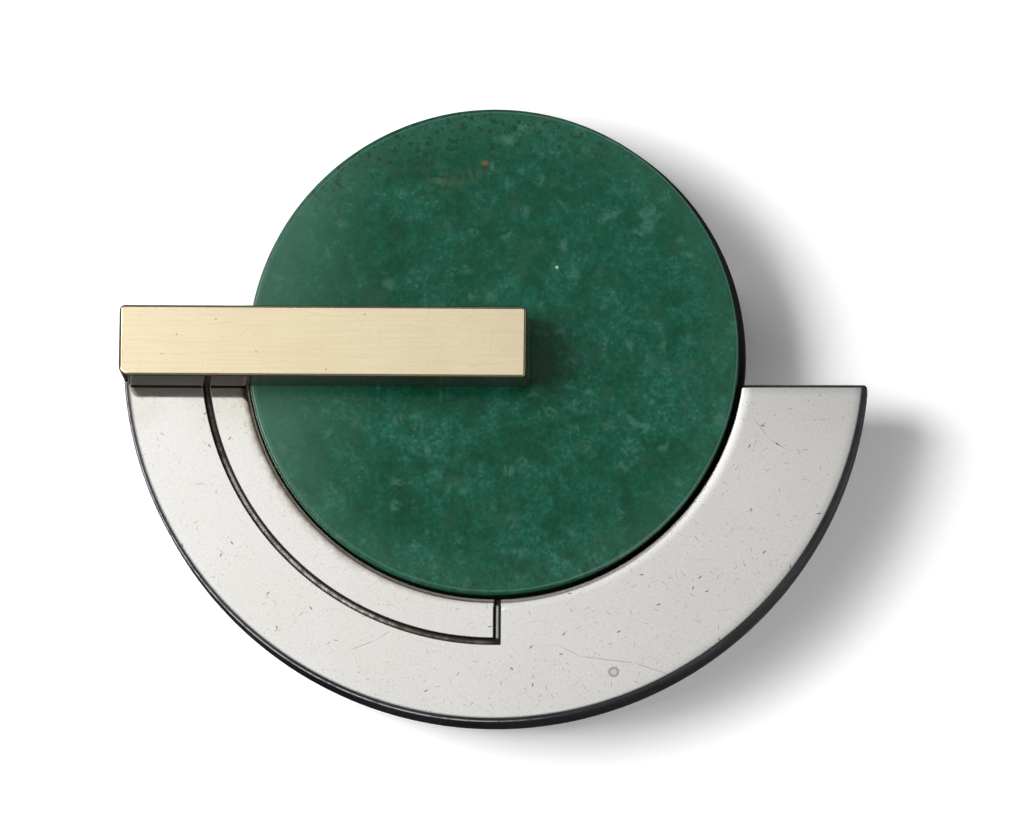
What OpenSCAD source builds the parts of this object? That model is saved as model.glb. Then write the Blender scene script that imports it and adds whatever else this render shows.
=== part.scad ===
// A modernist brooch: a round stone disc, a silver crescent that curves round its lower half, and
// a gold bar laid across both. Its back carries a hinged needle and a sliding tube that locks it.
//
// Every piece is laid out as it lies face up on a bench: X to the right, Y up the brooch, Z out
// of its face, with Z = 0 on the rear of the back plate and the stone's axis through the origin.
// upright() then stands it as it is worn, with its face towards -Y and Z upwards.

/* [Stone disc] */
// Diameter of the stone disc
disc_d = 40; // [38:0.5:41]
// Thickness of the stone disc
disc_t = 3.1; // [2.7:0.1:3.3]
// Width of the chamfer round the front of the disc
disc_chamfer = 0.3; // [0.1:0.05:0.5]
// How far the disc's face stands above the crescent's face
disc_proud = 0.7; // [0.5:0.1:1]
// Thickness of the cement under the disc
cement_t = 0.15; // [0.1:0.05:0.25]

/* [Silver body] */
// Outer diameter of the crescent
crescent_d = 60.7; // [59:0.1:62]
// Thickness of the silver body, from the rear of the back plate to the crescent's face
body_t = 4.6; // [4.4:0.1:5]
// Thickness of the back plate
plate_t = 0.8; // [0.6:0.1:0.9]
// Thickness of the hollow crescent's face
face_t = 1.2; // [1:0.1:1.4]
// Thickness of the hollow crescent's walls
wall_t = 0.9; // [0.7:0.1:1]
// Gap between the stone and the silver that curves round it
stone_gap = 0.4; // [0.35:0.05:0.5]
// How far the seat under the stone stands out past it
seat_rim = 0.3; // [0.2:0.05:0.3]
// Width of the chamfer on the crescent's outer edge
edge_chamfer = 0.4; // [0.2:0.05:0.5]
// Height of the crescent's right end, from the disc's centre
right_end_y = -2.75; // [-3.5:0.05:-2]
// Height of the crescent's left end, which the bar covers
left_end_y = 2.6; // [2:0.1:2.7]

/* [Inner band] */
// Width of the band let into the crescent's left half
band_w = 3.06; // [2.5:0.02:3.5]
// Thickness of the band, and depth of the groove round it
band_t = 0.5; // [0.3:0.05:0.5]
// Width of the groove round the band
groove_w = 0.54; // [0.4:0.02:0.7]
// Distance of the band's cut end to the right of the disc's centre
band_end_x = 0.08; // [0:0.02:1]

/* [Gold bar] */
// Length of the bar
bar_l = 33.2; // [32:0.1:34]
// How far the bar runs past the disc's centre
bar_past_centre = 2.8; // [2.4:0.1:4]
// Width of the bar
bar_w = 5.8; // [5.6:0.1:6.2]
// Depth of the bar, from the stone outwards
bar_h = 5.2; // [4.5:0.1:5.5]
// Radius of the bar's upright corners
bar_corner = 0.5; // [0.3:0.1:0.6]
// Thickness of the bar's gold walls
bar_wall = 0.6; // [0.5:0.05:0.7]
// Thickness of the plate that closes the bar's underside
bar_floor_t = 0.8; // [0.6:0.1:1]

/* [Pegs and nuts] */
// Diameter of the two threaded pegs that hold the bar, the stone and the body together
peg_d = 1.8; // [1.6:0.1:2]
// Distance of the outer peg to the left of the disc's centre
end_peg_x = 25.4; // [25:0.1:26]
// Width of the nuts across their flats
nut_af = 3.2; // [3:0.1:3.5]
// Thickness of the nuts
nut_t = 1.2; // [1:0.1:1.4]
// Thickness of the washers
washer_t = 0.3; // [0.2:0.05:0.4]

/* [Needle and hinge] */
// Height of the needle above the disc's centre
pin_y = 6.5; // [6.2:0.1:7]
// Distance of the hinge to the left of the disc's centre
hinge_x = 15.2; // [14.5:0.1:15.5]
// Distance from the rear of the back plate to the needle's axis
pin_drop = 2.5; // [2.4:0.05:2.7]
// Diameter of the needle's shank
needle_d = 0.9; // [0.8:0.05:1]
// Distance of the needle's point to the right of the disc's centre
needle_tip_x = 11.5; // [11:0.1:12]
// Diameter of the hinge rivet
rivet_d = 1; // [0.8:0.1:1.1]

/* [Catch] */
// Travel of the locking tube
catch_travel = 2.4; // [2:0.1:2.4]
// Diameter of the locking tube
slider_d = 1.84; // [1.7:0.02:1.9]
// Diameter of the locking tube's knob
knob_d = 2.6; // [2.4:0.1:2.8]

/* [Hidden] */
$fn = 96;

silver = [0.86, 0.85, 0.83];
gold = [0.90, 0.82, 0.64];
stone_green = [0.21, 0.42, 0.34];
cement_grey = [0.45, 0.43, 0.40];
steel = [0.72, 0.73, 0.75];

far = 2 * crescent_d;
cut = 0.01;

disc_r = disc_d / 2;
disc_z = body_t + disc_proud - disc_t;
disc_face_z = disc_z + disc_t;
seat_r = disc_r + seat_rim;
crescent_r = crescent_d / 2;
crescent_in_r = disc_r + stone_gap;
band_r = crescent_in_r + band_w;
groove_r = band_r + groove_w;
groove_floor_z = body_t - band_t;

bar_x = bar_past_centre - bar_l;
bar_y = -bar_w / 2;
bar_z = disc_face_z;
spacer_right_x = -disc_r - stone_gap - 0.3;
spacer_inset = 0.05;

peg_r = peg_d / 2;
peg_fit = 0.05;
stone_hole_r = peg_r + 0.15;
peg_head_r = 1.6;
peg_head_t = 0.5;
peg_end_z = -washer_t - nut_t - 0.3;
washer_r = 2.2;

fitting_plate_t = 0.5;
pin_z = -pin_drop;
knuckle_r = 1.25;
knuckle_w = 1.5;
ear_w = 1;
ear_gap = 0.05;
rivet_r = rivet_d / 2;
rivet_head_r = 0.8;
rivet_head_t = 0.25;
running_fit = 0.04;
peened_fit = 0.01;
ferrule_r = 0.7;
ferrule_l = 3;
needle_r = needle_d / 2;
needle_tail_r = 0.28;
needle_tail_start = 1;
needle_taper_l = 4.5;
needle_point_r = 0.25;
needle_point_l = 1.6;

cradle_l = 1;
cradle_x = needle_tip_x - 3.5;
cradle_w = 2.4;
cradle_slot_r = 0.5;
slider_r = slider_d / 2;
slider_bore_r = 0.6;
slider_bore_l = 4;
slider_x = needle_tip_x + 0.2;
collar_r = 1.2;
collar_t = 0.3;
guide_x = slider_x + collar_t + 0.05;
guide_l = 2.35;
guide_r = 1.5;
guide_foot_w = 2;
knob_x = guide_x + guide_l + catch_travel + 0.1;
knob_l = 1.4;
knob_socket_l = 0.7;
knob_chamfer = 0.2;

// Stands a piece that lies face up on the bench upright, as the brooch is worn.
module upright() {
    rotate([90, 0, 0]) children();
}

// A cylinder along X that starts at x and runs to the right, on the needle's axis.
module along_needle(x, r, l) {
    translate([x, pin_y, pin_z]) rotate([0, 90, 0]) cylinder(r = r, h = l);
}

// A cylinder across the brooch on the hinge's axis, from one height above the needle to another.
module across_hinge(r, from, to) {
    translate([-hinge_x, pin_y + from, pin_z]) rotate([-90, 0, 0]) cylinder(r = r, h = to - from);
}

// A rectangle with round corners, drawn from its lower left corner.
module rounded_rectangle(w, h, r) {
    translate([r, 0]) square([w - 2 * r, h]);
    translate([0, r]) square([w, h - 2 * r]);
    for (x = [r, w - r], y = [r, h - r]) {
        translate([x, y]) circle(r);
    }
}

// What lies above the crescent's two ends, each end moved in by the inset.
module above_ends(inset) {
    translate([-far, left_end_y - inset]) square([2 * far, far]);
    translate([0, right_end_y - inset]) square([far, far]);
}

// The crescent's outline between two radii.
module crescent_outline(r_in, r_out, inset = 0) {
    difference() {
        circle(r_out);
        circle(r_in);
        above_ends(inset);
    }
}

// The outline inside which the inner band and its groove lie.
module band_outline(r_out, end_x) {
    intersection() {
        crescent_outline(crescent_in_r, r_out);
        translate([-far, -far]) square([far + end_x, 2 * far]);
    }
}

// One straight hole for a peg at the given distance to the left of the disc's centre.
module peg_hole(left, r) {
    translate([-left, 0, -far]) cylinder(r = r, h = 2 * far);
}

module bar_outline(inset) {
    translate([bar_x + inset, bar_y + inset])
        rounded_rectangle(bar_l - 2 * inset, bar_w - 2 * inset, max(bar_corner - inset, 0.1));
}

module stone_disc() {
    color(stone_green) upright() difference() {
        translate([0, 0, disc_z]) rotate_extrude() polygon([
            [0, 0], [disc_r, 0], [disc_r, disc_t - disc_chamfer],
            [disc_r - disc_chamfer, disc_t], [0, disc_t]
        ]);
        peg_hole(0, stone_hole_r);
    }
}

module cement_bed() {
    color(cement_grey) upright() difference() {
        translate([0, 0, disc_z - cement_t]) cylinder(r = disc_r - seat_rim, h = cement_t);
        peg_hole(0, stone_hole_r);
    }
}

module stone_seat() {
    color(silver) upright() difference() {
        translate([0, 0, plate_t]) cylinder(r = seat_r, h = disc_z - cement_t - plate_t);
        peg_hole(0, peg_r + peg_fit);
    }
}

// A hollow shell, open at the rear, with a rebate along the left half of its inner edge.
module crescent_shell() {
    color(silver) upright() difference() {
        rotate_extrude() polygon([
            [crescent_in_r, plate_t], [crescent_r, plate_t], [crescent_r, body_t - edge_chamfer],
            [crescent_r - edge_chamfer, body_t], [crescent_in_r, body_t]
        ]);
        linear_extrude(height = 2 * body_t) above_ends(0);
        translate([0, 0, plate_t - cut]) linear_extrude(height = body_t - face_t - plate_t + cut)
            crescent_outline(crescent_in_r + wall_t, crescent_r - wall_t, wall_t);
        translate([0, 0, groove_floor_z]) linear_extrude(height = band_t + cut)
            intersection() {
                circle(groove_r);
                translate([-far, -far]) square([far + band_end_x + groove_w, 2 * far]);
            }
        peg_hole(end_peg_x, peg_r + peg_fit);
    }
}

module inner_band() {
    color(silver) upright() translate([0, 0, groove_floor_z]) linear_extrude(height = band_t)
        band_outline(band_r, band_end_x);
}

module back_plate() {
    color(silver) upright() difference() {
        linear_extrude(height = plate_t) {
            circle(seat_r);
            crescent_outline(cut, crescent_r);
        }
        peg_hole(0, peg_r + peg_fit);
        peg_hole(end_peg_x, peg_r + peg_fit);
    }
}

// A box of sheet gold, open underneath.
module gold_bar_shell() {
    color(gold) upright() translate([0, 0, bar_z]) difference() {
        linear_extrude(height = bar_h) bar_outline(0);
        translate([0, 0, -cut]) linear_extrude(height = bar_h - bar_wall + cut) bar_outline(bar_wall);
    }
}

module gold_bar_floor() {
    color(gold) upright() difference() {
        translate([0, 0, bar_z]) linear_extrude(height = bar_floor_t) bar_outline(bar_wall);
        peg_hole(0, peg_r + peg_fit);
        peg_hole(end_peg_x, peg_r + peg_fit);
    }
}

// Fills the step between the crescent's face and the bar, which rests on the higher stone.
module bar_spacer() {
    color(gold) upright() difference() {
        translate([0, 0, body_t]) linear_extrude(height = disc_proud) intersection() {
            bar_outline(spacer_inset);
            translate([-far, -far]) square([far + spacer_right_x, 2 * far]);
        }
        peg_hole(end_peg_x, peg_r + peg_fit);
    }
}

// A threaded peg with a flat head that is held inside the bar.
module peg() {
    translate([0, 0, peg_end_z]) cylinder(r = peg_r, h = bar_z + bar_floor_t - peg_end_z);
    translate([0, 0, bar_z + bar_floor_t]) cylinder(r = peg_head_r, h = peg_head_t);
}

module centre_peg() {
    color(silver) upright() peg();
}

module end_peg() {
    color(silver) upright() translate([-end_peg_x, 0, 0]) peg();
}

module peg_washers() {
    color(silver) upright() for (left = [0, end_peg_x]) {
        translate([-left, 0, -washer_t]) difference() {
            cylinder(r = washer_r, h = washer_t);
            translate([0, 0, -cut]) cylinder(r = peg_r + peg_fit, h = washer_t + 2 * cut);
        }
    }
}

module peg_nuts() {
    color(silver) upright() for (left = [0, end_peg_x]) {
        translate([-left, 0, -washer_t - nut_t]) difference() {
            cylinder(r = nut_af / 2 / cos(30), h = nut_t, $fn = 6);
            translate([0, 0, -cut]) cylinder(r = peg_r + peened_fit, h = nut_t + 2 * cut);
        }
    }
}

// A thin plate under a fitting, from one place along the needle to another.
module fitting_plate(from, to, half_w) {
    translate([from, pin_y - half_w, -fitting_plate_t])
        linear_extrude(height = fitting_plate_t)
            rounded_rectangle(to - from, 2 * half_w, 0.6);
}

module hinge_plate() {
    color(silver) upright() fitting_plate(-hinge_x - 2.2, -hinge_x + 2.2, 2.5);
}

module hinge_ears() {
    inner = knuckle_w / 2 + ear_gap;
    outer = inner + ear_w;
    color(silver) upright() difference() {
        for (from = [-outer, inner]) {
            across_hinge(knuckle_r, from, from + ear_w);
            translate([-hinge_x - knuckle_r, pin_y + from, pin_z])
                cube([2 * knuckle_r, ear_w, pin_drop - fitting_plate_t]);
        }
        across_hinge(rivet_r + peened_fit, -far, far);
    }
}

module hinge_rivet() {
    end = knuckle_w / 2 + ear_gap + ear_w + peened_fit;
    color(silver) upright() {
        across_hinge(rivet_r, -end, end);
        across_hinge(rivet_head_r, -end - rivet_head_t, -end);
        across_hinge(rivet_head_r, end, end + rivet_head_t);
    }
}

// The moving knuckle, with the ferrule that the needle is pressed into.
module pin_knuckle() {
    color(silver) upright() difference() {
        union() {
            across_hinge(knuckle_r, -knuckle_w / 2, knuckle_w / 2);
            along_needle(-hinge_x, ferrule_r, ferrule_l);
        }
        across_hinge(rivet_r + running_fit, -far, far);
        along_needle(-hinge_x + needle_tail_start, needle_tail_r, ferrule_l);
    }
}

// A thin tail in the ferrule, a straight shank, a taper that lies in the cradle, and a point.
module needle() {
    shank_start = ferrule_l;
    tip = needle_tip_x + hinge_x;
    color(steel) upright() translate([-hinge_x, pin_y, pin_z]) rotate([0, 90, 0])
        rotate_extrude() polygon([
            [0, needle_tail_start], [needle_tail_r, needle_tail_start],
            [needle_tail_r, shank_start], [needle_r, shank_start],
            [needle_r, tip - needle_taper_l], [needle_point_r, tip - needle_point_l],
            [needle_point_r / 4, tip - 0.1], [0, tip]
        ]);
}

module catch_plate() {
    color(silver) upright() fitting_plate(cradle_x - 0.5, guide_x + guide_l + 0.4, 1.8);
}

// A small fork, open away from the plate, that the needle's taper drops into.
module catch_cradle() {
    color(silver) upright() difference() {
        translate([cradle_x, pin_y - cradle_w / 2, pin_z - 0.9])
            cube([cradle_l, cradle_w, 0.9 + pin_drop - fitting_plate_t]);
        along_needle(cradle_x - 1, cradle_slot_r, cradle_l + 2);
        translate([cradle_x - 1, pin_y - cradle_slot_r, pin_z - 2])
            cube([cradle_l + 2, 2 * cradle_slot_r, 2]);
    }
}

module catch_guide_tube() {
    color(silver) upright() difference() {
        union() {
            along_needle(guide_x, guide_r, guide_l);
            translate([guide_x, pin_y - guide_foot_w / 2, pin_z])
                cube([guide_l, guide_foot_w, pin_drop - fitting_plate_t]);
        }
        along_needle(guide_x - 1, slider_r + peg_fit, guide_l + 2);
    }
}

// The locking tube, with the collar that keeps it in the guide.
module catch_slider() {
    color(silver) upright() difference() {
        union() {
            along_needle(slider_x, slider_r, knob_x + knob_socket_l - slider_x);
            along_needle(slider_x, collar_r, collar_t);
        }
        along_needle(slider_x - cut, slider_bore_r, slider_bore_l);
    }
}

module catch_knob() {
    knob_r = knob_d / 2;
    color(silver) upright() translate([knob_x, pin_y, pin_z]) rotate([0, 90, 0])
        rotate_extrude() polygon([
            [slider_r, 0], [knob_r - knob_chamfer, 0], [knob_r, knob_chamfer],
            [knob_r, knob_l - knob_chamfer], [knob_r - knob_chamfer, knob_l], [0, knob_l],
            [0, knob_socket_l], [slider_r, knob_socket_l]
        ]);
}

stone_disc();
cement_bed();
stone_seat();
crescent_shell();
inner_band();
back_plate();
gold_bar_shell();
gold_bar_floor();
bar_spacer();
centre_peg();
end_peg();
peg_washers();
peg_nuts();
hinge_plate();
hinge_ears();
hinge_rivet();
pin_knuckle();
needle();
catch_plate();
catch_cradle();
catch_guide_tube();
catch_slider();
catch_knob();
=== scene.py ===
import math

import bpy
from mathutils import Matrix, Vector


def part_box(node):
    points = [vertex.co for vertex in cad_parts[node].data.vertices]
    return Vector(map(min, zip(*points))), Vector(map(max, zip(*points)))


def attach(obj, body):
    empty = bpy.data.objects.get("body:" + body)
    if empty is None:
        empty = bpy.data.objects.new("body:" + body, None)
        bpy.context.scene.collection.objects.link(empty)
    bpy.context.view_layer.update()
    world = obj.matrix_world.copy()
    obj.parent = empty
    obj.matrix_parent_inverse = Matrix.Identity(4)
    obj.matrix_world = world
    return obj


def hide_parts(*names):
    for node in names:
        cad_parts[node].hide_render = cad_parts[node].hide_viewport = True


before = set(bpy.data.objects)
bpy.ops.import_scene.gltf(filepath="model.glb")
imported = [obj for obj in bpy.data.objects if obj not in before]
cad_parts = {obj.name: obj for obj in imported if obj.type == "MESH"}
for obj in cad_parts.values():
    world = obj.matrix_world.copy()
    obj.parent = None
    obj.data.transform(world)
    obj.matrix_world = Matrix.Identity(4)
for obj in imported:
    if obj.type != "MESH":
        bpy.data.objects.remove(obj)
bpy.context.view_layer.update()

MM = 0.001
TAU = 2 * math.pi

# ------------------------------------------------------------------ sizes read from the frame
# The brooch stands upright: its face looks towards -Y and the stone's axis is the Y axis.

STONE_LOW, STONE_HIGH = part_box("stone_disc")
SHELL_LOW, SHELL_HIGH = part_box("crescent_shell")
BAND_LOW, BAND_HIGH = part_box("inner_band")
PLATE_LOW, PLATE_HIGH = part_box("back_plate")
BAR_LOW, BAR_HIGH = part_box("gold_bar_shell")
FLOOR_LOW, FLOOR_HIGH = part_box("gold_bar_floor")
SEAT_LOW, SEAT_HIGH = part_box("stone_seat")
NEEDLE_LOW, NEEDLE_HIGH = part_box("needle")
KNUCKLE_LOW, KNUCKLE_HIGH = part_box("pin_knuckle")

STONE_R = STONE_HIGH.x
CRESCENT_R = -SHELL_LOW.x
FACE_Y = SHELL_LOW.y
PLATE_Y = SHELL_HIGH.y
GROOVE_FLOOR_Y = BAND_HIGH.y
LEFT_END_Z = SHELL_HIGH.z
ARM_TOP = -2.66 * MM
INNER_R = STONE_R + 0.4 * MM
BAND_R = INNER_R + 3.06 * MM
GROOVE_R = BAND_R + 0.54 * MM
GROOVE_END_X = BAND_HIGH.x + 0.54 * MM
NEEDLE_Y = (NEEDLE_LOW.y + NEEDLE_HIGH.y) / 2
NEEDLE_Z = (NEEDLE_LOW.z + NEEDLE_HIGH.z) / 2
HINGE_X = KNUCKLE_LOW.x + 1.25 * MM
PEG_R = 0.9 * MM
END_PEG_X = (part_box("end_peg")[0].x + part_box("end_peg")[1].x) / 2
ROUND_STEPS = 256


# ------------------------------------------------------------------ camera

def make_camera():
    """A long lens, a little to the right of the brooch and below it."""
    azimuth, elevation, roll = math.radians(2.7), math.radians(-8.8), math.radians(0.45)
    distance, lens = 0.856, 370.2
    aim = Vector((1.4 * MM, FACE_Y, -4.71 * MM))
    back = Vector((
        math.sin(azimuth) * math.cos(elevation),
        -math.cos(azimuth) * math.cos(elevation),
        math.sin(elevation),
    ))
    data = bpy.data.cameras.new("camera")
    data.lens = lens
    data.sensor_width = 36
    data.clip_start = 0.01
    data.clip_end = 20
    camera = bpy.data.objects.new("camera", data)
    bpy.context.scene.collection.objects.link(camera)
    turn = (-back).to_track_quat("-Z", "Y").to_matrix().to_4x4() @ Matrix.Rotation(roll, 4, "Z")
    camera.matrix_world = Matrix.Translation(aim + back * distance) @ turn
    bpy.context.scene.camera = camera


# ------------------------------------------------------------------ modelling helpers

def deselect():
    """Leaves edit mode and selects nothing."""
    if bpy.context.object and bpy.context.object.mode != "OBJECT":
        bpy.ops.object.mode_set(mode="OBJECT")
    bpy.ops.object.select_all(action="DESELECT")


def only(piece):
    """Makes this the one selected and active object, in object mode."""
    deselect()
    piece.select_set(True)
    bpy.context.view_layer.objects.active = piece


def start(add, name, **settings):
    """Adds a primitive and names it."""
    deselect()
    add(**settings)
    piece = bpy.context.object
    piece.name = name
    return piece


def edit(piece, kind="VERT", test=None):
    """Goes into edit mode with the vertices, edges or faces selected whose points all pass the test."""
    only(piece)
    mesh = piece.data
    chosen = [test is None or test(v.co) for v in mesh.vertices]
    for v in mesh.vertices:
        v.select = kind == "VERT" and chosen[v.index]
    for e in mesh.edges:
        e.select = kind != "FACE" and all(chosen[i] for i in e.vertices)
    for f in mesh.polygons:
        f.select = all(chosen[i] for i in f.vertices)
    bpy.context.tool_settings.mesh_select_mode = (kind == "VERT", kind == "EDGE", kind == "FACE")
    bpy.ops.object.mode_set(mode="EDIT")


def leave():
    bpy.ops.object.mode_set(mode="OBJECT")


def apply_modifier(piece, kind, **settings):
    only(piece)
    modifier = piece.modifiers.new(kind.lower(), kind)
    for name, value in settings.items():
        setattr(modifier, name, value)
    bpy.ops.object.modifier_apply(modifier=modifier.name)


def join_solids(piece, other, how):
    """Adds the other solid to this one, or cuts it away, and removes the other."""
    apply_modifier(piece, "BOOLEAN", operation=how, object=other, solver="EXACT")
    bpy.data.objects.remove(other)


def block(name, low, high):
    """A box between two corners, with its place in its mesh."""
    low, high = Vector(low), Vector(high)
    piece = start(bpy.ops.mesh.primitive_cube_add, name, size=1, location=(low + high) / 2)
    piece.scale = high - low
    bpy.ops.object.transform_apply(location=True, rotation=True, scale=True)
    return piece


def cut_block(piece, low, high):
    join_solids(piece, block("cutter", low, high), "DIFFERENCE")


def arc(centre, radius, first, last, steps):
    """Points of an arc in a profile, between two angles in degrees."""
    points = []
    for i in range(steps + 1):
        a = math.radians(first + (last - first) * i / steps)
        points.append((centre[0] + radius * math.cos(a), centre[1] + radius * math.sin(a)))
    return points


def lathe(name, profile, steps=64, centre=(0, 0, 0), axis="Y"):
    """Turns a closed profile of (radius, distance along the axis) about an axis through the centre."""
    piece = start(bpy.ops.mesh.primitive_plane_add, name, size=1)
    bpy.context.tool_settings.mesh_select_mode = (True, False, False)
    bpy.ops.object.mode_set(mode="EDIT")
    bpy.ops.mesh.merge(type="CENTER")
    bpy.ops.transform.translate(value=(profile[0][0], profile[0][1], 0))
    for (r0, d0), (r1, d1) in zip(profile, profile[1:]):
        bpy.ops.mesh.extrude_region_move(TRANSFORM_OT_translate={"value": (r1 - r0, d1 - d0, 0)})
    bpy.ops.mesh.select_all(action="SELECT")
    if profile[0][0] > 0 or profile[-1][0] > 0:
        leave()
        last = len(piece.data.vertices) - 1
        for v in piece.data.vertices:
            v.select = v.index in (0, last)
        for e in piece.data.edges:
            e.select = False
        bpy.context.tool_settings.mesh_select_mode = (True, False, False)
        bpy.ops.object.mode_set(mode="EDIT")
        bpy.ops.mesh.edge_face_add()
        bpy.ops.mesh.select_all(action="SELECT")
    bpy.ops.mesh.spin(steps=steps, angle=TAU, center=(0, 0, 0), axis=(0, 1, 0))
    bpy.ops.mesh.select_all(action="SELECT")
    bpy.ops.mesh.remove_doubles(threshold=1e-7)
    bpy.ops.mesh.normals_make_consistent(inside=False)
    leave()
    if axis == "X":
        piece.rotation_euler = (0, 0, -math.pi / 2)
    if axis == "Z":
        piece.rotation_euler = (math.pi / 2, 0, 0)
    piece.location = centre
    bpy.ops.object.transform_apply(location=True, rotation=True, scale=True)
    return piece


def bevel_edges(piece, width, steps, test):
    """Rounds the edges whose two ends pass the test."""
    edit(piece, "EDGE", test)
    bpy.ops.mesh.bevel(offset=width, segments=steps, profile=0.5, affect="EDGES", clamp_overlap=False)
    leave()


def soften(piece, width, steps=2, angle=35):
    """Rounds every edge that is sharper than the angle."""
    apply_modifier(
        piece, "BEVEL", width=width, segments=steps, limit_method="ANGLE",
        angle_limit=math.radians(angle), use_clamp_overlap=True,
    )


def finish_piece(piece, body, finish, nodes, angle=32):
    """Shades a piece, gives it its finish and places it in the frame."""
    only(piece)
    bpy.ops.object.transform_apply(location=True, rotation=True, scale=True)
    bpy.ops.object.shade_smooth_by_angle(angle=math.radians(angle))
    apply_modifier(piece, "WEIGHTED_NORMAL", weight=100, keep_sharp=True)
    piece.data.materials.clear()
    piece.data.materials.append(finish)
    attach(piece, body)
    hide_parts(*nodes)
    return piece


# ------------------------------------------------------------------ shader helpers

class Wire:
    """A socket that takes part in sums: each operation adds a Math node."""

    def __init__(self, finish, socket):
        self.finish = finish
        self.socket = socket

    def math(self, how, first, second=None, third=None):
        values = {0: first}
        if second is not None:
            values[1] = second
        if third is not None:
            values[2] = third
        return self.finish.node("ShaderNodeMath", {"operation": how}, values)

    def __add__(self, other):
        return self.math("ADD", self, other)

    def __radd__(self, other):
        return self.math("ADD", other, self)

    def __sub__(self, other):
        return self.math("SUBTRACT", self, other)

    def __rsub__(self, other):
        return self.math("SUBTRACT", other, self)

    def __mul__(self, other):
        return self.math("MULTIPLY", self, other)

    def __rmul__(self, other):
        return self.math("MULTIPLY", other, self)

    def __truediv__(self, other):
        return self.math("DIVIDE", self, other)

    def __pow__(self, other):
        return self.math("POWER", self, other)

    def __abs__(self):
        return self.math("ABSOLUTE", self)

    def least(self, other):
        return self.math("MINIMUM", self, other)

    def most(self, other):
        return self.math("MAXIMUM", self, other)

    def clip(self):
        return self.most(0.0).least(1.0)

    def rise(self, low, high):
        """0 below low and 1 above high, or the other way round if low is the larger."""
        return self.finish.node(
            "ShaderNodeMapRange", {"interpolation_type": "SMOOTHSTEP", "clamp": True},
            {"Value": self, "From Min": low, "From Max": high, "To Min": 0.0, "To Max": 1.0},
        )

    def near(self, value, width):
        """1 at the value, falling to 0 at that distance from it."""
        return abs(self - value).rise(width, 0.0)


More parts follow.
